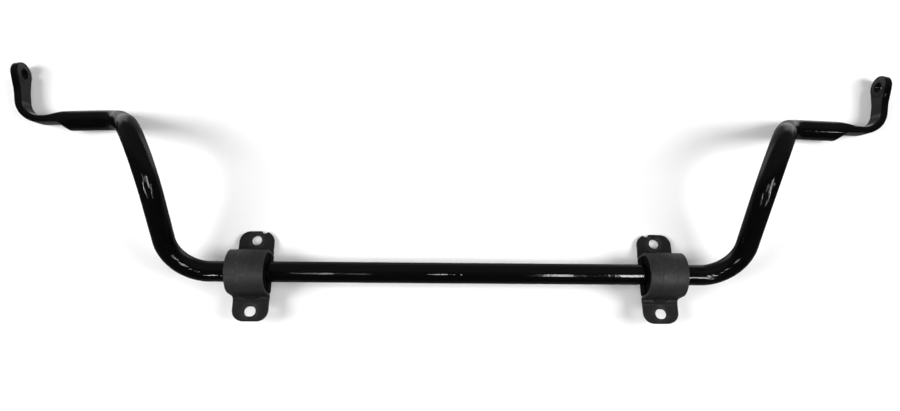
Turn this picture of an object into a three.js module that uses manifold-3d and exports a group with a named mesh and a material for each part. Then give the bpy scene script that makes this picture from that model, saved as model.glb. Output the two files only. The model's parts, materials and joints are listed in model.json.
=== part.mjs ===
// Front sway bar of a passenger car: one forged bar and its two clamp-on mounts.
// Millimetres, +X along the straight section, +Y towards the link eyes, +Z up, lying on the floor.
import * as THREE from "three";
import { mergeVertices } from "three/addons/utils/BufferGeometryUtils.js";
import Module from "manifold-3d";

const wasm = await Module();
wasm.setup();

// ---------- bar ----------
const BAR_D = 24;
// Corners of the right half of the centre line, and the bend radius at each.
const BAR_CORNERS = [
  [0, 0, 0],
  [329, 0, 0],
  [331, 144, 103.5],
  [407, 179, -20],
  [520, 175.5, -20],
  [527.3, 232.5, -20],
];
const BEND_RADII = [44, 61, 28, 26];
const BEND_STEP = (10 * Math.PI) / 180;
const SECTION_POINTS = 28;

// ---------- forged end ----------
const STRIP_T = 8.5; // thickness, across the broad faces
const STRIP_H = 21.5; // height of the neck
const STRIP_SHIFT = 1.5; // the strip lies a little to the inner side of the round bar's axis
const FORGE_LENGTH_IN = 30; // length over which the inner side is drawn down to the strip
const FORGE_LENGTH_OUT = 16; // the outer side steps in faster
const FORGE_START = 34; // from where the curl starts, back along the bar
const STRIP_POWER = 6; // superellipse exponent of the strip's section
const FORGE_STEP = 5; // longest step between two sections of the forged part
const EYE_D = 29;
const EYE_HOLE_D = 12;
const EYE_FLARE = 24; // length over which the neck widens into the eye
const EYE_CHAMFER = 1;

// ---------- clamp mounts ----------
const MOUNT_X = 241.1; // from the middle of the bar
const MOUNT_TILT = 14.6; // degrees about the bar, the tab on the eye side lower
const STRAP_T = 3;
const STRAP_R = 24; // middle of the sheet, over the top of the saddle
const STRAP_W = 43.4; // along the bar
const TAB_W = 41.6;
const TAB_Z = -20.5; // middle of the sheet, below the bar's axis
const TAB_FILLET = 5; // between leg and tab, at the middle of the sheet
const TAB_END = 54.2;
const TAB_CORNER = 13;
const HOLE_PITCH = 85.5;
const HOLE_D = 12;
const SLOTTED_HOLE_W = 13.5;
const NOTCH_R = 3.6;
const NOTCH_X = 9; // from the middle of the strap, towards the middle of the bar
const FOOT_SLOT_W = 16;
const PLATE_T = 2.5;
const PLATE_TONGUE_W = 14;
const PLATE_REACH = 28; // how far the tongue comes out, from the bar's axis
const LIP = 1.5; // the lower rubber stands out past the strap at each side
const GAP = 0.3;

const ARC = 24; // segments of a half circle

// ---------- solids ----------
function solidOf(geometry) {
  const bare = geometry.index ? geometry.toNonIndexed() : geometry.clone();
  bare.deleteAttribute("normal");
  bare.deleteAttribute("uv");
  const merged = mergeVertices(bare, 1e-4);
  return new wasm.Manifold(
    new wasm.Mesh({
      numProp: 3,
      vertProperties: merged.attributes.position.array,
      triVerts: new Uint32Array(merged.index.array),
    }),
  );
}

function geometryOf(solid) {
  const mesh = solid.getMesh();
  const geometry = new THREE.BufferGeometry();
  geometry.setAttribute("position", new THREE.BufferAttribute(mesh.vertProperties, 3));
  geometry.setIndex(new THREE.BufferAttribute(mesh.triVerts, 1));
  return geometry;
}

function box(xs, ys, zs) {
  const size = [xs, ys, zs].map(([a, b]) => b - a);
  const middle = [xs, ys, zs].map(([a, b]) => (a + b) / 2);
  return solidOf(new THREE.BoxGeometry(...size).translate(...middle));
}

// A cylinder along X, or along Z for an upright pin.
function cylinder(radius, length, upright) {
  const geometry = new THREE.CylinderGeometry(radius, radius, length, 2 * ARC);
  return solidOf(upright ? geometry.rotateX(Math.PI / 2) : geometry.rotateZ(Math.PI / 2));
}

// A profile drawn in (y, z), extruded along X and centred on it.
function extrudeAlongX(profile, length) {
  const geometry = new THREE.ExtrudeGeometry(new THREE.Shape(profile), {
    depth: length,
    bevelEnabled: false,
  });
  geometry.translate(0, 0, -length / 2);
  // (shape x, shape y, depth) becomes (y, z, x)
  const turn = new THREE.Matrix4().set(0, 0, 1, 0, 1, 0, 0, 0, 0, 1, 0, 0, 0, 0, 0, 1);
  return solidOf(geometry.applyMatrix4(turn));
}

function arcPoints(cy, cz, radius, from, to, steps) {
  const points = [];
  for (let i = 0; i <= steps; i++) {
    const angle = from + ((to - from) * i) / steps;
    points.push(new THREE.Vector2(cy + radius * Math.cos(angle), cz + radius * Math.sin(angle)));
  }
  return points;
}

// ---------- bar ----------
// Centre line of the right half: straight runs joined by circular bends.
function centreLine() {
  const corners = BAR_CORNERS.map((c) => new THREE.Vector3(...c));
  const line = [corners[0]];
  let curlStart = 0;
  for (let i = 1; i < corners.length - 1; i++) {
    const back = corners[i - 1].clone().sub(corners[i]).normalize();
    const on = corners[i + 1].clone().sub(corners[i]).normalize();
    const inside = back.angleTo(on);
    const radius = BEND_RADII[i - 1];
    const bisector = back.clone().add(on).normalize();
    const centre = corners[i].clone().addScaledVector(bisector, radius / Math.sin(inside / 2));
    const start = corners[i].clone().addScaledVector(back, radius / Math.tan(inside / 2));
    const spoke = start.clone().sub(centre);
    const axis = on.clone().cross(back).normalize();
    const turn = Math.PI - inside;
    const steps = Math.ceil(turn / BEND_STEP);
    if (i === corners.length - 2) curlStart = line.length;
    for (let k = 0; k <= steps; k++)
      line.push(centre.clone().add(spoke.clone().applyAxisAngle(axis, (turn * k) / steps)));
  }
  line.push(corners[corners.length - 1]);
  return { line, curlStart };
}

// Adds points in the forged part, so that its sections change in small steps.
function refine(line, curlStart) {
  const fine = [];
  let start = 0;
  line.forEach((point, i) => {
    const last = line[i - 1];
    const extra = i > curlStart - 5 ? Math.floor(point.distanceTo(last) / FORGE_STEP) : 0;
    for (let k = 1; k <= extra; k++) fine.push(last.clone().lerp(point, k / (extra + 1)));
    if (i === curlStart) start = fine.length;
    fine.push(point);
  });
  return { fine, start };
}

function smooth(t) {
  const u = Math.min(Math.max(t, 0), 1);
  return u * u * (3 - 2 * u);
}

// Half sizes of the section at a distance from the forging's start and from the eye.
function sectionAt(fromForge, toEye) {
  const round = BAR_D / 2;
  const flat = STRIP_T / 2;
  const inner = smooth(fromForge / FORGE_LENGTH_IN);
  const outer = smooth(fromForge / FORGE_LENGTH_OUT);
  const neck = STRIP_H / 2 + (EYE_D / 2 - STRIP_H / 2) * smooth(1 - toEye / EYE_FLARE);
  return {
    inner: round + (flat + STRIP_SHIFT - round) * inner,
    outer: round + (flat - STRIP_SHIFT - round) * outer,
    height: round + (neck - round) * inner,
    power: 2 + (STRIP_POWER - 2) * inner,
  };
}

function signedPower(value, power) {
  return Math.sign(value) * Math.abs(value) ** power;
}

// One ring of section points round a point of the centre line; the thickness is horizontal.
function ring({ point, along, section }) {
  const across = new THREE.Vector3(0, 0, 1).cross(along).normalize();
  const up = along.clone().cross(across).normalize();
  const points = [];
  for (let i = 0; i < SECTION_POINTS; i++) {
    const angle = (2 * Math.PI * i) / SECTION_POINTS;
    const u = signedPower(Math.cos(angle), 2 / section.power);
    const v = signedPower(Math.sin(angle), 2 / section.power);
    const reach = u > 0 ? section.inner : section.outer;
    points.push(point.clone().addScaledVector(across, u * reach).addScaledVector(up, v * section.height));
  }
  return points;
}

function sweptBar() {
  const { line, curlStart } = centreLine();
  const { fine, start } = refine(line, curlStart);
  const travel = [0];
  for (let i = 1; i < fine.length; i++) travel.push(travel[i - 1] + fine[i].distanceTo(fine[i - 1]));
  const forge = travel[start] - FORGE_START;
  const end = travel[travel.length - 1];
  const half = fine.map((point, i) => {
    const along = fine[Math.min(i + 1, fine.length - 1)].clone().sub(fine[Math.max(i - 1, 0)]).normalize();
    return { point, along, section: sectionAt(travel[i] - forge, end - travel[i]) };
  });
  const mirror = new THREE.Vector3(-1, 1, 1);
  const otherHalf = half.slice(1).reverse().map(({ point, along, section }) => ({
    point: point.clone().multiply(mirror),
    along: along.clone().multiply(mirror).negate(),
    section,
  }));
  return solidOf(skin([...otherHalf, ...half].map(ring)));
}

// Closes a row of rings into one surface with flat ends.
function skin(rings) {
  const n = SECTION_POINTS;
  const positions = rings.flat().flatMap((p) => [p.x, p.y, p.z]);
  const faces = [];
  for (let r = 0; r + 1 < rings.length; r++)
    for (let i = 0; i < n; i++) {
      const a = r * n + i;
      const b = r * n + ((i + 1) % n);
      faces.push(a, b, b + n, a, b + n, a + n);
    }
  const last = (rings.length - 1) * n;
  for (let i = 1; i + 1 < n; i++) {
    faces.push(0, i + 1, i);
    faces.push(last, last + i, last + i + 1);
  }
  const geometry = new THREE.BufferGeometry();
  geometry.setAttribute("position", new THREE.Float32BufferAttribute(positions, 3));
  geometry.setIndex(faces);
  return geometry;
}

// The round eye at one end, as a disc with broken edges, and the hole through it.
function placeAtEye(solidGeometry, side) {
  const [a, b] = BAR_CORNERS.slice(-2).map((c) => new THREE.Vector3(side * c[0], c[1], c[2]));
  const along = b.clone().sub(a).normalize();
  const across = new THREE.Vector3(-side * along.y, side * along.x, 0).normalize();
  const up = new THREE.Vector3().crossVectors(along, across);
  const place = new THREE.Matrix4().makeBasis(along, across, up);
  place.setPosition(b.clone().addScaledVector(across, STRIP_SHIFT));
  return solidOf(solidGeometry.applyMatrix4(place));
}

function eyeDisc(side) {
  const r = EYE_D / 2;
  const h = STRIP_T / 2;
  const c = EYE_CHAMFER;
  const profile = [[0, -h], [r - c, -h], [r, c - h], [r, h - c], [r - c, h], [0, h]];
  const disc = new THREE.LatheGeometry(profile.map((p) => new THREE.Vector2(...p)), 2 * ARC);
  return placeAtEye(disc, side);
}

function eyeHole(side) {
  return placeAtEye(new THREE.CylinderGeometry(EYE_HOLE_D / 2, EYE_HOLE_D / 2, 4 * STRIP_T, 32), side);
}

function buildBar() {
  let bar = sweptBar();
  for (const side of [-1, 1]) bar = bar.add(eyeDisc(side));
  for (const side of [-1, 1]) bar = bar.subtract(eyeHole(side));
  return bar;
}

// ---------- clamp mounts ----------
// One face of the strap's sheet, in (y, z), at an offset outwards from its middle.
function strapLine(offset) {
  const f = TAB_FILLET;
  const fillet = f - offset;
  const right = arcPoints(STRAP_R + f, TAB_Z + f, fillet, 1.5 * Math.PI, Math.PI, 6);
  const saddle = arcPoints(0, 0, STRAP_R + offset, 0, Math.PI, ARC);
  const left = right.map((p) => new THREE.Vector2(-p.x, p.y)).reverse();
  return [
    new THREE.Vector2(TAB_END, TAB_Z + offset),
    ...right,
    ...saddle,
    ...left,
    new THREE.Vector2(-TAB_END, TAB_Z + offset),
  ];
}

// Plan of the strap in (x, y): full width over the saddle, rounded ends on the tabs.
function strapPlan() {
  const half = STRAP_W / 2;
  const tab = TAB_W / 2;
  const r = TAB_CORNER;
  const shoulder = STRAP_R + STRAP_T;
  const quarter = [
    new THREE.Vector2(half, 0),
    new THREE.Vector2(half, shoulder - 1),
    new THREE.Vector2(tab, shoulder + 1),
    ...arcPoints(tab - r, TAB_END - r, r, 0, Math.PI / 2, 8),
  ];
  const flip = (points, fx, fy) => points.map((p) => new THREE.Vector2(fx * p.x, fy * p.y));
  return new THREE.Shape([
    ...quarter,
    ...flip(quarter, -1, 1).reverse(),
    ...flip(quarter, -1, -1).slice(1),
    ...flip(quarter, 1, -1).reverse().slice(0, -1),
  ]);
}

function strapPrism() {
  const geometry = new THREE.ExtrudeGeometry(strapPlan(), { depth: 80, bevelEnabled: false });
  return solidOf(geometry.translate(0, 0, -40));
}

// An upright bolt hole, longer along the bar when it is slotted.
function boltHole(x, y, width) {
  const spread = (width - HOLE_D) / 2;
  const hole = (dx) => cylinder(HOLE_D / 2, 20, true).translate(x + dx, y, TAB_Z);
  if (!spread) return hole(0);
  const middle = box([x - spread, x + spread], [y - HOLE_D / 2, y + HOLE_D / 2], [TAB_Z - 10, TAB_Z + 10]);
  return hole(-spread).add(hole(spread)).add(middle);
}

function buildStrap(side) {
  const profile = [...strapLine(STRAP_T / 2), ...strapLine(-STRAP_T / 2).reverse()];
  const notch = cylinder(NOTCH_R, 20, true).translate(-side * NOTCH_X, TAB_END + 0.6, TAB_Z);
  return extrudeAlongX(profile, STRAP_W)
    .intersect(strapPrism())
    .subtract(boltHole(0, HOLE_PITCH / 2, HOLE_D))
    .subtract(boltHole(0, -HOLE_PITCH / 2, SLOTTED_HOLE_W))
    .subtract(notch)
    .subtract(footSlot());
}

// The slot through the leg's foot that takes the plate's tongue, on the side away from the eyes.
function footSlot() {
  const bottom = plateBottom() - GAP;
  const top = plateBottom() + PLATE_T + GAP;
  return box([-FOOT_SLOT_W / 2, FOOT_SLOT_W / 2], [-STRAP_R - TAB_FILLET, 5 - STRAP_R], [bottom, top]);
}

function plateBottom() {
  return TAB_Z + STRAP_T / 2 + GAP;
}

function buildPlate() {
  const bottom = plateBottom();
  const z = [bottom, bottom + PLATE_T];
  const reach = STRAP_R - STRAP_T / 2 - GAP;
  const body = box([-STRAP_W / 2, STRAP_W / 2], [-reach, reach], z);
  const tongue = box([-PLATE_TONGUE_W / 2, PLATE_TONGUE_W / 2], [-PLATE_REACH, 0], z);
  return body.add(tongue);
}

function buildUpperRubber() {
  const outer = STRAP_R - STRAP_T / 2 - GAP;
  const inner = BAR_D / 2 + GAP;
  const half = box([-STRAP_W, STRAP_W], [-60, 60], [GAP / 2, 60]);
  return cylinder(outer, STRAP_W, false).subtract(cylinder(inner, 2 * STRAP_W, false)).intersect(half);
}

function buildLowerRubber() {
  const reach = STRAP_R - STRAP_T / 2 - GAP;
  const bottom = plateBottom() + PLATE_T + GAP;
  const length = STRAP_W + 2 * LIP;
  const block = box([-length / 2, length / 2], [-reach, reach], [bottom, -GAP / 2]);
  return block.subtract(cylinder(BAR_D / 2 + GAP, 2 * length, false));
}

// Turns a mount's piece about the bar and moves it along to its place.
function placeMount(solid, side) {
  return solid.rotate([-MOUNT_TILT, 0, 0]).translate(side * MOUNT_X, 0, 0);
}

// ---------- assembly ----------
const PAINT = { color: 0x0b0b0c, roughness: 0.18, metalness: 0.1 };
const BRACKET_PAINT = { color: 0x3a3b3c, roughness: 0.5, metalness: 0.3 };
const RUBBER = { color: 0x141414, roughness: 0.85, metalness: 0 };
const PLATED = { color: 0x4a4b4c, roughness: 0.45, metalness: 0.7 };

const pieces = [["bar", buildBar(), PAINT]];
for (const [name, side] of [["left", -1], ["right", 1]]) {
  pieces.push([name + "_strap", placeMount(buildStrap(side), side), BRACKET_PAINT]);
  pieces.push([name + "_upper_rubber", placeMount(buildUpperRubber(), side), RUBBER]);
  pieces.push([name + "_lower_rubber", placeMount(buildLowerRubber(), side), RUBBER]);
  pieces.push([name + "_base_plate", placeMount(buildPlate(), side), PLATED]);
}

const group = new THREE.Group();
for (const [name, solid, look] of pieces) {
  const mesh = new THREE.Mesh(geometryOf(solid), new THREE.MeshStandardMaterial(look));
  mesh.name = name;
  group.add(mesh);
}

// The origin is the middle of the underside of the whole object's box.
const extent = new THREE.Box3().setFromObject(group);
for (const mesh of group.children)
  mesh.geometry.translate(
    -(extent.min.x + extent.max.x) / 2,
    -(extent.min.y + extent.max.y) / 2,
    -extent.min.z,
  );

export default group;
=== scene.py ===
"""Looks for the sway bar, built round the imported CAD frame. Metres, in the part's own frame."""
import json
import math

import bmesh
import bpy
from mathutils import Matrix, Vector


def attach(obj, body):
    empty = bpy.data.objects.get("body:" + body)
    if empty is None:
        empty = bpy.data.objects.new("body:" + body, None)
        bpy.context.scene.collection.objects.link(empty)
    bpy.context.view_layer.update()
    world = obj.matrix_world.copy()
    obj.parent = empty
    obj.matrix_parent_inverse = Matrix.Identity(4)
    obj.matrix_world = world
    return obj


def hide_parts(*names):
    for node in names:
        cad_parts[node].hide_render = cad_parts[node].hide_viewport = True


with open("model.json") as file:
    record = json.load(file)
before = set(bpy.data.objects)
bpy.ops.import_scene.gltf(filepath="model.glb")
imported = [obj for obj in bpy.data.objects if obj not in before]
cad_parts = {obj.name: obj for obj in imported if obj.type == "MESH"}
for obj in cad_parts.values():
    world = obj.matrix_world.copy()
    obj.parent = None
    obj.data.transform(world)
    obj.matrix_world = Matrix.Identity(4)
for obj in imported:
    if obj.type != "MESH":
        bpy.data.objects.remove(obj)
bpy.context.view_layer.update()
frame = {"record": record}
MM = 0.001
SIDES = (("left", -1), ("right", 1))
scene = bpy.context.scene

# ---------- sizes, in millimetres, from the bar's own axis ----------
AXIS = Vector(frame["record"]["behaviour"]["joints"][0]["pos_m"])
ORIGIN = Vector((0, AXIS.y, AXIS.z))  # the middle of the bar's straight section
GAP = 0.3  # between touching pieces

# Bar: corners of the right half's centre line, and the radius of the bend at each one between the ends.
BAR_R = 12.0
CORNERS = [(0, 0, 0), (329, 0, 0), (331, 144, 103.5), (407, 179, -20), (520, 175.5, -20),
           (527.3, 232.5, -20)]
BENDS = [44, 61, 28, 26]
# Sections along the bar: few where it is straight, most where it is forged flat.
STRAIGHT_END, STRAIGHT_STEP, BENT_STEP, FORGED_LEAD, FORGED_STEP = 280, 40, 6.0, 60, 1.2
BEND_STEP = math.radians(3)
RING_POINTS = 72
# Forged strip: its section is shifted towards the inside of the last bend, and boxy rather than round.
STRIP_T, STRIP_H, STRIP_SHIFT, STRIP_POWER = 8.5, 21.5, 1.5, 8.0
# How far before the last bend it starts, and the length its inner and its outer face take to form.
FORGE_START, FORGE_IN, FORGE_OUT = 34.0, 30.0, 16.0
EYE_D, EYE_HOLE_D, EYE_FLARE, EYE_ROUND, EYE_CHAMFER = 29.0, 12.0, 24.0, 1.4, 0.7

# Mounts: where they sit and how far they are tilted about the bar.
MOUNT_X, TILT = 241.1, math.radians(14.6)
# Strap: a bent sheet. STRAP_R is the radius of its middle surface over the bar.
STRAP_T, STRAP_R, STRAP_W, STRAP_EDGE = 3.0, 24.0, 43.4, 0.55
TAB_W, TAB_Z, TAB_FILLET, TAB_END, TAB_CORNER = 41.6, -20.5, 5.0, 54.2, 13.0
TAB_FLAT = TAB_END - STRAP_R - TAB_FILLET
WIDEN_FROM, WIDEN_TO = TAB_FLAT - 2, TAB_FLAT + 6  # where the tab widens to the saddle
HOLE_PITCH, HOLE_D, SLOTTED_W, HOLE_POINTS = 85.5, 12.0, 13.5, 40
NOTCH_R, NOTCH_X, NOTCH_OUT = 3.6, 9.0, 0.6
SLOT_W, SLOT_DEPTH = 16.0, 5.0
CUTTER_REACH = 9.0  # half height of a cutter through the flat sheet
# Pressed relief: a raised band over the saddle, and a bead at the foot of each tab.
# BAND_RUN is how far past the tab the band starts, and also the length it takes to rise.
BAND_W, BAND_EDGE, BAND_RISE, BAND_RUN = 15.0, 1.6, 0.55, 8.0
BEAD_W, BEAD_RISE = 4.0, 0.35
BLANK_STEPS = 150
# Inside the strap: the rubber and the base plate.
INNER_R = STRAP_R - STRAP_T / 2 - GAP
RUBBER_EDGE, BLOCK_EDGE, PLATE_EDGE, LIP = 0.7, 0.8, 0.4, 1.5
PLATE_T, TONGUE_W, PLATE_REACH = 2.5, 14.0, 28.0
PLATE_LOW = TAB_Z + STRAP_T / 2 + GAP

# The strap's section, as runs of (kind, length) from the end of the tab away from the eyes.
LEG = -TAB_Z - TAB_FILLET
FOOT = [("line", TAB_FLAT), ("in", TAB_FILLET * math.pi / 2), ("line", LEG)]
SHEET = FOOT + [("out", STRAP_R * math.pi)] + FOOT[::-1]
SHEET_LENGTH = sum(length for _, length in SHEET)

# ---------- light and camera ----------
FLOOR_HALF, DOME_R, DOME_LOW, DOME_GLOW = 8, 7.5, -0.5, 0.97
FLOOR_GLOW = (0.75, 1.3, 0.09, 0.97)  # from and to this distance, from and to this strength
# What gloss paint reflects: sky that brightens behind the bar, and ground below towards the bar's ends.
SKY, SKY_RISE, SKY_BEHIND = 0.02, 0.07, (-0.1, 0.45)
GROUND, GROUND_RISE, GROUND_BEHIND = 0.1, 0.55, (0.28, 0.5)
GROUND_OUT, GROUND_ENDS, GROUND_DOWN = (0.2, 0.5), (0.92, 0.74), (-0.08, -0.35)
# Lamps that the straight section shows: x, y, length along the bar, length across it, radiance.
LAMP_Z = 2.4
LAMPS = ((-0.66, -0.7, 0.008, 0.5, 22), (-0.56, -0.7, 0.02, 0.6, 26), (-0.39, -0.8, 0.008, 0.4, 22),
         (0.01, -0.7, 0.05, 0.35, 16), (0.60, -0.75, 0.11, 1.0, 14), (0.97, -0.75, 0.13, 1.0, 18),
         (1.38, -1.2, 0.05, 0.3, 14))
SIDE_BOX, SIDE_BOX_POWER = (1.2, 0.8), 43
OVERHEAD, OVERHEAD_POWER = (1.2, 1.2), 8
STREAK_W, STREAK_RADIANCE = 0.012, 90
CAMERA_PLACE, CAMERA_TURN = (-28.7, 23.8, 748.7), (4.2, -1.5, 0.5)  # millimetres, degrees
LENS, SENSOR = 25.6, 36


def mm(*values):
    return [v * MM for v in values]


# ---------- mesh helpers ----------
def add_object(name, bm, material, body, slot, *nodes):
    """Turns a bmesh in millimetres about the bar's axis into a piece that stands for CAD nodes."""
    mesh = bpy.data.meshes.new(name)
    bmesh.ops.recalc_face_normals(bm, faces=bm.faces)
    bm.to_mesh(mesh)
    bm.free()
    mesh.transform(Matrix.Translation(ORIGIN) @ Matrix.Scale(MM, 4))
    obj = bpy.data.objects.new(name, mesh)
    scene.collection.objects.link(obj)
    mesh.materials.append(material)
    mesh.shade_smooth()
    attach(obj, body)
    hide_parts(*nodes)
    return obj


def temp_object(bm):
    mesh = bpy.data.meshes.new("temp")
    bm.to_mesh(mesh)
    bm.free()
    obj = bpy.data.objects.new("temp", mesh)
    scene.collection.objects.link(obj)
    return obj


def discard(obj):
    mesh = obj.data
    bpy.data.objects.remove(obj)
    bpy.data.meshes.remove(mesh)


def evaluated(obj):
    """The object's mesh with its modifiers, as a bmesh; the object is removed."""
    bm = bmesh.new()
    bm.from_object(obj, bpy.context.evaluated_depsgraph_get())
    discard(obj)
    return bm


def boolean(bm, cutter, operation):
    obj, other = temp_object(bm), temp_object(cutter)
    mod = obj.modifiers.new("cut", "BOOLEAN")
    mod.operation, mod.object, mod.solver = operation, other, "EXACT"
    result = evaluated(obj)
    discard(other)
    return result


def bevelled(bm, width, segments, angle):
    obj = temp_object(bm)
    mod = obj.modifiers.new("bevel", "BEVEL")
    mod.width, mod.segments, mod.limit_method = width, segments, "ANGLE"
    mod.angle_limit, mod.use_clamp_overlap = math.radians(angle), True
    mod.miter_outer = "MITER_ARC"
    return evaluated(obj)


def sharpen(obj, angle):
    """Keeps edges sharper than the angle sharp, the rest smooth."""
    bm = bmesh.new()
    bm.from_mesh(obj.data)
    limit = math.radians(angle)
    for edge in bm.edges:
        edge.smooth = len(edge.link_faces) == 2 and edge.calc_face_angle(0) < limit
    bm.to_mesh(obj.data)
    bm.free()


def skinned(rings):
    """Skins a row of rings of points, with flat ends."""
    bm = bmesh.new()
    rows = [[bm.verts.new(p) for p in ring] for ring in rings]
    n = len(rows[0])
    for a, b in zip(rows, rows[1:]):
        for i in range(n):
            j = (i + 1) % n
            bm.faces.new((a[i], a[j], b[j], b[i]))
    bm.faces.new(list(reversed(rows[0])))
    bm.faces.new(rows[-1])
    bmesh.ops.recalc_face_normals(bm, faces=bm.faces)
    return bm


def lathe(profile, steps, place):
    """A profile of (radius, height) turned round local Z, then placed."""
    turns = [2 * math.pi * k / steps for k in range(steps)]
    return skinned([[place @ Vector((r * math.cos(t), r * math.sin(t), z)) for t in turns]
                    for r, z in profile])


def prism(outline, low, high):
    """An (x, y) outline raised along Z."""
    return skinned([[(x, y, z) for x, y in outline] for z in (low, high)])


def extruded(profile, length):
    """A (y, z) outline along X, centred."""
    return skinned([[(x, y, z) for y, z in profile] for x in (-length / 2, length / 2)])


def block(x, y, z):
    """A box from a (low, high) pair on each axis."""
    bm = bmesh.new()
    bmesh.ops.create_cube(bm, size=1)
    for v in bm.verts:
        v.co = Vector([(hi if c > 0 else lo) for c, (lo, hi) in zip(v.co, (x, y, z))])
    return bm


def arc(radius, start, stop, count):
    turns = [start + (stop - start) * k / count for k in range(count + 1)]
    return [(radius * math.cos(t), radius * math.sin(t)) for t in turns]


def smooth(t):
    t = min(max(t, 0.0), 1.0)
    return t * t * (3 - 2 * t)


# ---------- node trees ----------
class Tree:
    """A small builder for a node tree."""

    def __init__(self, tree, coords):
        self.tree = tree
        self.place = self.add("ShaderNodeTexCoord").outputs[coords]

    def add(self, kind, **props):
        node = self.tree.nodes.new(kind)
        for key, value in props.items():
            setattr(node, key, value)
        return node

    def link(self, a, b):
        self.tree.links.new(a, b)

    def feed(self, socket, value):
        """Links an output to the socket, or gives it a plain number or colour."""
        if isinstance(value, tuple):
            socket.default_value = (*value, 1)
        elif isinstance(value, (int, float)):
            socket.default_value = value
        else:
            self.link(value, socket)

    def math(self, operation, a, b=0.0):
        node = self.add("ShaderNodeMath", operation=operation)
        self.feed(node.inputs[0], a)
        self.feed(node.inputs[1], b)
        return node.outputs["Value"]

    def product(self, a, b):
        return self.math("MULTIPLY", a, b)

    def sum(self, a, b):
        return self.math("ADD", a, b)

    def axes(self, vector):
        split = self.add("ShaderNodeSeparateXYZ")
        self.link(vector, split.inputs["Vector"])
        return split.outputs

    def span(self, value, start, stop, low=0.0, high=1.0):
        """low before start, high past stop, smooth between; stop may be the smaller."""
        node = self.add("ShaderNodeMapRange", interpolation_type="SMOOTHSTEP")
        self.link(value, node.inputs["Value"])
        for key, number in (("From Min", start), ("From Max", stop), ("To Min", low), ("To Max", high)):
            node.inputs[key].default_value = number
        return node.outputs["Result"]


class Surface(Tree):
    """A builder for one material, in object coordinates."""

    def __init__(self, name):
        self.material = bpy.data.materials.new(name)
        self.material.use_nodes = True
        super().__init__(self.material.node_tree, "Object")
        self.shader = self.tree.nodes["Principled BSDF"]

    def noise(self, scale, detail, roughness, stretch=(1, 1, 1)):
        mapping = self.add("ShaderNodeMapping")
        mapping.inputs["Scale"].default_value = stretch
        self.link(self.place, mapping.inputs["Vector"])
        node = self.add("ShaderNodeTexNoise")
        for key, value in (("Scale", scale), ("Detail", detail), ("Roughness", roughness)):
            node.inputs[key].default_value = value
        self.link(mapping.outputs["Vector"], node.inputs["Vector"])
        return node.outputs["Fac"]

    def cells(self, scale):
        node = self.add("ShaderNodeTexVoronoi")
        node.inputs["Scale"].default_value = scale
        self.link(self.place, node.inputs["Vector"])
        return node.outputs["Distance"]

    def ramp(self, value, *stops):
        """Runs through the greys or colours given at each stop."""
        node = self.add("ShaderNodeValToRGB")
        self.link(value, node.inputs["Fac"])
        for element, (at, colour) in zip(node.color_ramp.elements, stops):
            element.position = at
            element.color = (*colour, 1) if isinstance(colour, tuple) else (colour, colour, colour, 1)
        return node.outputs["Color"]

    def mix(self, factor, a, b):
        node = self.add("ShaderNodeMix", data_type="RGBA")
        for index, value in ((0, factor), (6, a), (7, b)):
            self.feed(node.inputs[index], value)
        return node.outputs[2]

    def bump(self, height, strength, distance, below=None):
        node = self.add("ShaderNodeBump")
        node.inputs["Strength"].default_value = strength
        node.inputs["Distance"].default_value = distance
        self.link(height, node.inputs["Height"])
        if below is not None:
            self.link(below, node.inputs["Normal"])
        return node.outputs["Normal"]

    def finish(self, colour, roughness, normal, **fixed):
        for socket, value in (("Base Color", colour), ("Roughness", roughness), ("Normal", normal)):
            self.link(value, self.shader.inputs[socket])
        self.fix(**fixed)
        return self.material

    def fix(self, **fixed):
        for key, value in fixed.items():
            self.shader.inputs[key.replace("_", " ")].default_value = value


# ---------- materials ----------
def bar_paint():
    """Gloss black with faint specks of dust and a little orange peel."""
    n = Surface("bar_paint")
    colour = n.ramp(n.noise(9, 4, 0.6), (0.3, (0.0011, 0.0011, 0.0012)), (0.7, (0.0020, 0.0020, 0.0022)))
    specks = n.ramp(n.cells(420), (0.0, 1.0), (0.045, 0.0))
    colour = n.mix(n.product(specks, 0.02), colour, (0.2, 0.2, 0.2))
    dust = n.noise(160, 5, 0.75)
    streaks = n.noise(60, 4, 0.6, (0.15, 1, 1))
    rough = n.sum(n.product(dust, 0.06), n.product(streaks, 0.05))
    peel = n.bump(n.noise(420, 2, 0.5), 0.12, 0.0003)
    wave = n.bump(n.noise(70, 2, 0.5), 0.13, 0.0012, peel)
    return n.finish(colour, rough, wave, Metallic=0.0, Specular_IOR_Level=0.5)


def mount_axes(n):
    """Distances in metres in a mount's own frame: along the bar, across it, and up from its axis."""
    turn = Matrix.Rotation(TILT, 3, "X")
    mapping = n.add("ShaderNodeMapping")
    mapping.inputs["Rotation"].default_value = (TILT, 0, 0)
    mapping.inputs["Location"].default_value = -(turn @ ORIGIN)
    n.link(n.place, mapping.inputs["Vector"])
    x, across, up = n.axes(mapping.outputs["Vector"])
    return n.math("SUBTRACT", n.math("ABSOLUTE", x), MOUNT_X * MM), across, up


def bolt_distance(n, along, reach):
    """Distance from the nearer bolt hole's axis."""
    off = n.math("SUBTRACT", reach, HOLE_PITCH / 2 * MM)
    return n.math("SQRT", n.sum(n.math("POWER", off, 2), n.math("POWER", along, 2)))


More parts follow.
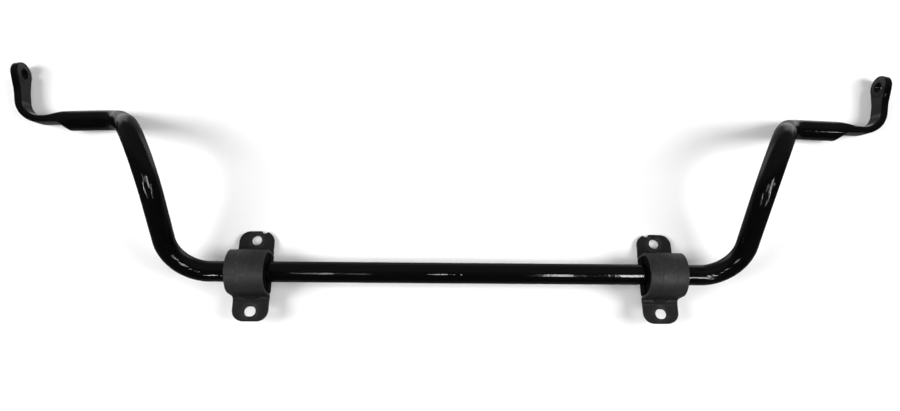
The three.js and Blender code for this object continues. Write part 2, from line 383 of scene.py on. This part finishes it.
def strap_paint():
    """Satin dark grey: tabs painted darker as painted shade, washer marks, a scuffed crown and worn rims.
    """
    n = Surface("strap_paint")
    along, across, up = mount_axes(n)
    reach = n.math("ABSOLUTE", across)
    broad, mottle, fine = n.noise(38, 5, 0.6), n.noise(170, 5, 0.65), n.noise(700, 3, 0.6)
    colour = n.ramp(broad, (0.3, (0.018, 0.0182, 0.0186)), (0.7, (0.026, 0.0262, 0.0267)))
    # Painted shade: the flat tabs get a darker colour than the saddle of the same sheet, for the shade on
    # their flat faces.
    tab = n.span(reach, *mm(23.5, 27.5))
    colour = n.mix(tab, colour, (0.0098, 0.0099, 0.0102))
    colour = n.mix(n.product(n.span(mottle, 0.5, 0.75), 0.35), colour, (0.034, 0.034, 0.035))
    crown = n.product(n.span(up, *mm(19, 23)), n.span(n.math("ABSOLUTE", along), *mm(19, 13)))
    scuffs = n.product(n.span(n.noise(330, 4, 0.7, (1, 0.6, 1)), 0.56, 0.66), crown)
    colour = n.mix(n.product(scuffs, 0.55), colour, (0.075, 0.075, 0.077))
    pressed_on = n.span(bolt_distance(n, along, reach), *mm(11.5, 9.5))
    washer = n.product(pressed_on, n.product(tab, n.span(mottle, 0.38, 0.6)))
    colour = n.mix(n.product(washer, 0.5), colour, (0.04, 0.04, 0.041))
    rim = n.add("ShaderNodeAttribute", attribute_name="edge").outputs["Fac"]
    worn = n.product(rim, n.ramp(n.noise(240, 4, 0.7), (0.35, 0.25), (0.7, 1.0)))
    colour = n.mix(n.product(worn, 0.5), colour, (0.075, 0.075, 0.077))
    rough = n.math("SUBTRACT", n.sum(n.product(fine, 0.2), 0.38), n.product(scuffs, 0.12))
    grain = n.bump(fine, 0.3, 0.0003)
    pits = n.bump(mottle, 0.3, 0.0006, grain)
    dents = n.bump(n.noise(90, 3, 0.55), 0.25, 0.0012, pits)
    return n.finish(colour, rough, dents, Metallic=0.15, Specular_IOR_Level=0.5)


def rubber():
    n = Surface("rubber")
    colour = n.ramp(n.noise(120, 4, 0.6), (0.3, 0.001), (0.7, (0.0022, 0.0022, 0.0021)))
    rough = n.sum(n.product(n.noise(260, 3, 0.6), 0.2), 0.6)
    skin = n.bump(n.noise(900, 3, 0.6), 0.25, 0.0003)
    return n.finish(colour, rough, skin, Specular_IOR_Level=0.12)


def plate_steel():
    n = Surface("plate_steel")
    colour = n.ramp(n.noise(60, 5, 0.65), (0.3, 0.004), (0.7, 0.009))
    rough = n.sum(n.product(n.noise(500, 3, 0.6), 0.2), 0.45)
    grain = n.bump(n.noise(800, 3, 0.6), 0.2, 0.0003)
    return n.finish(colour, rough, grain, Metallic=0.2, Specular_IOR_Level=0.3)


PAINT, STRAP_PAINT, RUBBER, PLATE = bar_paint(), strap_paint(), rubber(), plate_steel()


# ---------- bar ----------
def bend(before, corner, after, radius):
    """Points of the centre line round one corner."""
    back, on = (before - corner).normalized(), (after - corner).normalized()
    inside = back.angle(on)
    centre = corner + (back + on).normalized() * (radius / math.sin(inside / 2))
    start = corner + back * (radius / math.tan(inside / 2))
    axis = on.cross(back).normalized()
    turn = math.pi - inside
    steps = math.ceil(turn / BEND_STEP)
    spins = [Matrix.Rotation(turn * k / steps, 3, axis) for k in range(steps + 1)]
    return [centre + spin @ (start - centre) for spin in spins]


def spacing(at, curl_at):
    """Gap between sections at a distance along the bar."""
    if at < STRAIGHT_END:
        return STRAIGHT_STEP
    return BENT_STEP if at < curl_at - FORGED_LEAD else FORGED_STEP


def centre_line():
    """Points of the right half's centre line, their distances along it, and where its last bend starts."""
    corners = [Vector(c) for c in CORNERS]
    line = [corners[0]]
    for before, corner, after, radius in zip(corners, corners[1:], corners[2:], BENDS):
        curl = len(line)
        line += bend(before, corner, after, radius)
    line.append(corners[-1])
    travel = [0.0]
    for a, b in zip(line, line[1:]):
        travel.append(travel[-1] + (b - a).length)
    points, at = [line[0]], [0.0]
    for a, b, ta, tb in zip(line, line[1:], travel, travel[1:]):
        parts = max(1, round((tb - ta) / spacing(tb, travel[curl])))
        for k in range(1, parts + 1):
            points.append(a.lerp(b, k / parts))
            at.append(ta + (tb - ta) * k / parts)
    return points, at, travel[curl]


def section(from_forge, to_eye):
    """Inner and outer half widths, half height and power of the section: 2 is round, more is boxy."""
    flat = STRIP_T / 2
    inner = smooth(from_forge / FORGE_IN)
    outer = smooth(from_forge / FORGE_OUT)
    neck = STRIP_H / 2 + (EYE_D / 2 - STRIP_H / 2) * smooth(1 - to_eye / EYE_FLARE)
    return (BAR_R + (flat + STRIP_SHIFT - BAR_R) * inner, BAR_R + (flat - STRIP_SHIFT - BAR_R) * outer,
            BAR_R + (neck - BAR_R) * inner, 2 + (STRIP_POWER - 2) * inner)


def ring(point, along, shape):
    """Points of one section, as a superellipse across the centre line."""
    inner, outer, height, power = shape
    across = Vector((0, 0, 1)).cross(along).normalized()
    up = along.cross(across).normalized()
    points = []
    for i in range(RING_POINTS):
        angle = 2 * math.pi * i / RING_POINTS
        u = math.copysign(abs(math.cos(angle)) ** (2 / power), math.cos(angle))
        v = math.copysign(abs(math.sin(angle)) ** (2 / power), math.sin(angle))
        points.append(point + across * (u * (inner if u > 0 else outer)) + up * (v * height))
    return points


def bar_rings():
    points, at, curl_at = centre_line()
    forge, end = curl_at - FORGE_START, at[-1]
    half = []
    for i, point in enumerate(points):
        along = (points[min(i + 1, len(points) - 1)] - points[max(i - 1, 0)]).normalized()
        half.append((point, along, section(at[i] - forge, end - at[i])))
    flip = Matrix.Diagonal((-1, 1, 1))
    left = [ring(flip @ p, -(flip @ d), s) for p, d, s in reversed(half[1:])]
    return left + [ring(p, d, s) for p, d, s in half]


def eye_frame(side):
    """Frame at the middle of an eye: X along the strip, Z through the hole."""
    a, b = (Vector((side * c[0], c[1], c[2])) for c in CORNERS[-2:])
    along = (b - a).normalized()
    across = Vector((-side * along.y, side * along.x, 0)).normalized()
    rows = Matrix((along, along.cross(across), across)).transposed().to_4x4()
    return Matrix.Translation(b + across * STRIP_SHIFT) @ rows


def eye_profiles():
    """(radius, height) outlines of the eye's disc, with rounded rims, and of its chamfered hole."""
    h, r, c = STRIP_T / 2, EYE_D / 2, EYE_ROUND
    rim = [(r - c + c * math.sin(t), c * math.cos(t)) for t in (math.pi / 2 * k / 6 for k in range(7))]
    disc = [(rr, -h + c - z) for rr, z in rim] + [(rr, h - c + z) for rr, z in reversed(rim)]
    hole, mouth, past, inset = EYE_HOLE_D / 2, EYE_HOLE_D / 2 + EYE_CHAMFER, 2, 0.05
    upper = [(hole, h - EYE_CHAMFER), (mouth, h - inset), (mouth, h + past)]
    return disc, [(rr, -z) for rr, z in reversed(upper)] + upper


def bar_mesh():
    bm = skinned(bar_rings())
    disc, bore = eye_profiles()
    for _, side in SIDES:
        bm = boolean(bm, lathe(disc, 96, eye_frame(side)), "UNION")
    for _, side in SIDES:
        bm = boolean(bm, lathe(bore, 64, eye_frame(side)), "DIFFERENCE")
    return bm


sharpen(add_object("bar_forging", bar_mesh(), PAINT, "bar", "bar_paint", "bar"), 32)


# ---------- straps, drawn flat in (x, u) and bent: u is arc length along the sheet's middle ----------
def on_sheet(u):
    """(y, z) and the outward normal at arc length u."""
    y, z, heading = -TAB_END, TAB_Z, 0.0
    for kind, length in SHEET:
        here = min(u, length)
        if kind == "line":
            y, z = y + here * math.cos(heading), z + here * math.sin(heading)
        else:
            way, radius = (1, TAB_FILLET) if kind == "in" else (-1, STRAP_R)
            cy, cz = y - way * radius * math.sin(heading), z + way * radius * math.cos(heading)
            heading += way * here / radius
            y, z = cy + way * radius * math.sin(heading), cz - way * radius * math.cos(heading)
        u -= here
        if u <= 1e-9:
            break
    return y, z, -math.sin(heading), math.cos(heading)


def blank_outline():
    """Outline of the flat sheet: full width over the saddle, rounded ends on the tabs."""
    tab, r = TAB_W / 2, TAB_CORNER
    quarter = [(tab - r + r * math.cos(t), r - r * math.sin(t)) for t in
               (math.pi / 2 * k / 14 for k in reversed(range(15)))]
    quarter += [(tab, WIDEN_FROM), (STRAP_W / 2, WIDEN_TO)]
    right = quarter + [(x, SHEET_LENGTH - u) for x, u in reversed(quarter)]
    return right + [(-x, u) for x, u in reversed(right)]


def oval(cx, cu, radius, spread=0.0):
    """A round hole's outline, with its two halves spread apart along x."""
    points = []
    for k in range(HOLE_POINTS):
        t = 2 * math.pi * k / HOLE_POINTS
        apart = math.copysign(spread, math.cos(t))
        points.append((cx + radius * math.cos(t) + apart, cu + radius * math.sin(t)))
    return points


def slab():
    """A flat slab past the sheet's outline, cut into narrow strips so that it can be bent."""
    half = STRAP_W / 2 + 1
    edge = [BAND_W / 2 + BAND_EDGE * k / 4 for k in range(5)]
    columns = [-half] + [-x for x in reversed(edge)] + edge + [half]
    loop = [(x, -STRAP_T / 2) for x in columns] + [(x, STRAP_T / 2) for x in reversed(columns)]
    along = [-1 + (SHEET_LENGTH + 2) * k / BLANK_STEPS for k in range(BLANK_STEPS + 1)]
    return skinned([[(x, u, z) for x, z in loop] for u in along])


def flat_strap(side):
    """The flat sheet with its holes and rounded rims."""
    reach = TAB_END - HOLE_PITCH / 2
    cutter = (-CUTTER_REACH, CUTTER_REACH)
    bm = boolean(slab(), prism(blank_outline(), *cutter), "INTERSECT")
    holes = [oval(0, SHEET_LENGTH - reach, HOLE_D / 2),
             oval(0, reach, HOLE_D / 2, (SLOTTED_W - HOLE_D) / 2),
             oval(-side * NOTCH_X, SHEET_LENGTH + NOTCH_OUT, NOTCH_R)]
    for hole in holes:
        bm = boolean(bm, prism(hole, *cutter), "DIFFERENCE")
    bmesh.ops.remove_doubles(bm, verts=bm.verts, dist=0.01)
    bmesh.ops.dissolve_degenerate(bm, edges=bm.edges, dist=0.01)
    bm = bevelled(bm, STRAP_EDGE, 3, 60)
    bm.normal_update()
    return bm


def mark_rims(bm):
    """Marks the rims of the flat sheet, for wear."""
    layer = bm.verts.layers.float.new("edge")
    for v in bm.verts:
        rim = any(abs(f.normal.z) < 0.85 for f in v.link_faces)
        near_face = STRAP_T / 2 - abs(v.co.z) < 0.75
        v[layer] = (1.0 if near_face else 0.5) if rim else 0.0


def pressed(x, u):
    """How far the press pushed the sheet out."""
    end = min(u, SHEET_LENGTH - u) - TAB_FLAT
    band = smooth((BAND_W / 2 + BAND_EDGE - abs(x)) / BAND_EDGE) * smooth((end - BAND_RUN) / BAND_RUN)
    bead = smooth(1 - abs(end + BEAD_W / 2) / (BEAD_W / 2))
    return BAND_RISE * band + BEAD_RISE * bead


def strap_mesh(side):
    bm = flat_strap(side)
    mark_rims(bm)
    for v in bm.verts:
        u = min(max(v.co.y, 0), SHEET_LENGTH)
        y, z, ny, nz = on_sheet(u)
        off = v.co.z + pressed(v.co.x, u)
        v.co = Vector((v.co.x, y + ny * off, z + nz * off))
    slot = block((-SLOT_W / 2, SLOT_W / 2), (-STRAP_R - TAB_FILLET, SLOT_DEPTH - STRAP_R),
                 (PLATE_LOW - GAP, PLATE_LOW + PLATE_T + GAP))
    return boolean(bm, slot, "DIFFERENCE")


# ---------- rubber and base plates ----------
def upper_rubber_mesh():
    inner, low = BAR_R + GAP, GAP / 2
    outside, inside = math.asin(low / INNER_R), math.asin(low / inner)
    profile = arc(INNER_R, outside, math.pi - outside, 40)
    profile += reversed(arc(inner, inside, math.pi - inside, 28))
    return bevelled(extruded(profile, STRAP_W), RUBBER_EDGE, 3, 50)


def lower_rubber_mesh():
    inner, top, bottom = BAR_R + GAP, -GAP / 2, PLATE_LOW + PLATE_T + GAP
    start = math.asin(-top / inner)
    bed = [(y, -z) for y, z in arc(inner, start, math.pi - start, 28)]
    profile = [(INNER_R, top), (inner, top)] + bed[1:]
    profile += [(-INNER_R, top), (-INNER_R, bottom), (INNER_R, bottom)]
    return bevelled(extruded(profile, STRAP_W + 2 * LIP), BLOCK_EDGE, 3, 50)


def plate_mesh():
    half, tongue = STRAP_W / 2, TONGUE_W / 2
    outline = [(half, -INNER_R), (half, INNER_R), (-half, INNER_R), (-half, -INNER_R),
               (-tongue, -INNER_R), (-tongue, -PLATE_REACH), (tongue, -PLATE_REACH), (tongue, -INNER_R)]
    return bevelled(prism(outline, PLATE_LOW, PLATE_LOW + PLATE_T), PLATE_EDGE, 2, 40)


def seat(bm, side):
    """Turns a mount's piece about the bar and moves it to its place."""
    bm.transform(Matrix.Translation((side * MOUNT_X, 0, 0)) @ Matrix.Rotation(-TILT, 4, "X"))


for name, side in SIDES:
    pieces = [
        ("clamp_strap", strap_mesh(side), STRAP_PAINT, "strap_paint", "strap"),
        ("saddle_rubber", upper_rubber_mesh(), RUBBER, "rubber", "upper_rubber"),
        ("block_rubber", lower_rubber_mesh(), RUBBER, "rubber", "lower_rubber"),
        ("hook_plate", plate_mesh(), PLATE, "plate_steel", "base_plate"),
    ]
    for piece, bm, material, slot, node in pieces:
        seat(bm, side)
        obj = add_object(f"{name}_{piece}", bm, material, f"{name}_mount", slot, f"{name}_{node}")
        sharpen(obj, 40)


# ---------- floor, light, camera ----------
def stage_object(name, bm, albedo):
    """A stage piece that gloss paint doesn't mirror: the world stands in for it there."""
    mesh = bpy.data.meshes.new(name)
    bm.to_mesh(mesh)
    bm.free()
    mesh.shade_smooth()
    obj = bpy.data.objects.new(name, mesh)
    scene.collection.objects.link(obj)
    n = Surface(name)
    n.fix(Base_Color=(albedo, albedo, albedo, 1), Roughness=0.9, Specular_IOR_Level=0.0,
          Emission_Color=(1, 1, 1, 1))
    mesh.materials.append(n.material)
    obj.visible_glossy = False
    return obj, n


def floor():
    """Pale floor: lit by the lamps near the object, glowing by itself further out."""
    bm = bmesh.new()
    bmesh.ops.create_grid(bm, x_segments=1, y_segments=1, size=FLOOR_HALF)
    _, n = stage_object("floor", bm, 0.8)
    length = n.add("ShaderNodeVectorMath", operation="LENGTH")
    n.link(n.place, length.inputs[0])
    n.link(n.span(length.outputs["Value"], *FLOOR_GLOW), n.shader.inputs["Emission Strength"])


def backdrop():
    """A pale dome that only the camera sees, so that low views have a pale wall behind."""
    bm = bmesh.new()
    bmesh.ops.create_uvsphere(bm, u_segments=64, v_segments=32, radius=DOME_R)
    bmesh.ops.delete(bm, geom=[v for v in bm.verts if v.co.z < DOME_LOW], context="VERTS")
    bmesh.ops.reverse_faces(bm, faces=bm.faces)
    dome, n = stage_object("backdrop", bm, 0.0)
    n.fix(Emission_Strength=DOME_GLOW)
    dome.visible_diffuse = dome.visible_shadow = dome.visible_transmission = False


def area(name, place, target, size, power, glossy=True, diffuse=True, along=(1, 0, 0)):
    """A rectangular lamp that faces the target; its first side runs along the given direction."""
    data = bpy.data.lights.new(name, "AREA")
    data.shape, data.size, data.size_y = "RECTANGLE", size[0], size[1]
    data.energy = power
    obj = bpy.data.objects.new(name, data)
    back = (Vector(place) - Vector(target)).normalized()
    first = Vector(along)
    first = (first - back * first.dot(back)).normalized()
    turn = Matrix((first, back.cross(first), back)).transposed().to_4x4()
    obj.matrix_world = Matrix.Translation(place) @ turn
    obj.visible_camera = False
    obj.visible_glossy, obj.visible_diffuse = glossy, diffuse
    scene.collection.objects.link(obj)


def rod(name, start, end, width, radiance):
    """A thin lamp from start to end that only gloss paint shows, as a streak."""
    start, end = Vector(start), Vector(end)
    length = (end - start).length
    area(name, (start + end) / 2, (0, 0, 0.05), (length, width), math.pi * length * width * radiance,
         diffuse=False, along=end - start)


def studio_world():
    """What gloss paint reflects, by direction."""
    world = bpy.data.worlds.new("world")
    world.use_nodes = True
    n = Tree(world.node_tree, "Generated")
    x, y, z = n.axes(n.place)
    ends = n.math("ABSOLUTE", x)
    sky = n.sum(n.product(n.span(y, *SKY_BEHIND), SKY_RISE), SKY)
    behind = n.product(n.span(ends, *GROUND_OUT), n.span(y, *GROUND_BEHIND))
    ground = n.sum(n.product(behind, GROUND_RISE), GROUND)
    below = n.product(n.span(ends, *GROUND_ENDS), n.span(z, *GROUND_DOWN))
    background = n.tree.nodes["Background"]
    n.link(n.sum(sky, n.product(ground, below)), background.inputs["Strength"])
    background.inputs["Color"].default_value = (1, 1, 1, 1)
    scene.world = world


def lamps():
    """Soft boxes that light the floor and the mounts, and thin lamps for the glints on the bar."""
    for name, side in SIDES:
        area(f"{name}_side_box", (side * 1.6, -0.05, 1.5), (side * 0.25, 0, 0), SIDE_BOX, SIDE_BOX_POWER,
             glossy=False)
    area("overhead", (0, -0.1, 2.6), (0, 0, 0), OVERHEAD, OVERHEAD_POWER, glossy=False)
    for i, (x, y, width, depth, radiance) in enumerate(LAMPS):
        rod(f"lamp_{i}", (x - width / 2, y, LAMP_Z), (x + width / 2, y, LAMP_Z), depth, radiance)
    rod("end_streak", (2.0, -0.95, LAMP_Z), (2.32, -0.95, LAMP_Z), 0.05, 50)
    for (name, side), y in zip(SIDES, (-1.3, -1.2)):
        arm = (side * 1.15, y, 1.9), (side * 0.99, -1.75, 1.45)
        back = (-side * 0.98, -0.83, 1.65), (-side * 1.1, -1.0, 1.2)
        rod(f"{name}_arm_streak", *arm, STREAK_W, STREAK_RADIANCE)
        rod(f"{name}_back_streak", *back, STREAK_W, STREAK_RADIANCE)


def camera():
    obj = bpy.data.objects.new("camera", bpy.data.cameras.new("camera"))
    obj.data.sensor_width, obj.data.lens = SENSOR, LENS
    obj.location = ORIGIN + Vector(CAMERA_PLACE) * MM
    obj.rotation_euler = [math.radians(a) for a in CAMERA_TURN]
    scene.collection.objects.link(obj)
    scene.camera = obj


floor()
backdrop()
studio_world()
lamps()
camera()
scene.view_settings.view_transform = "Standard"
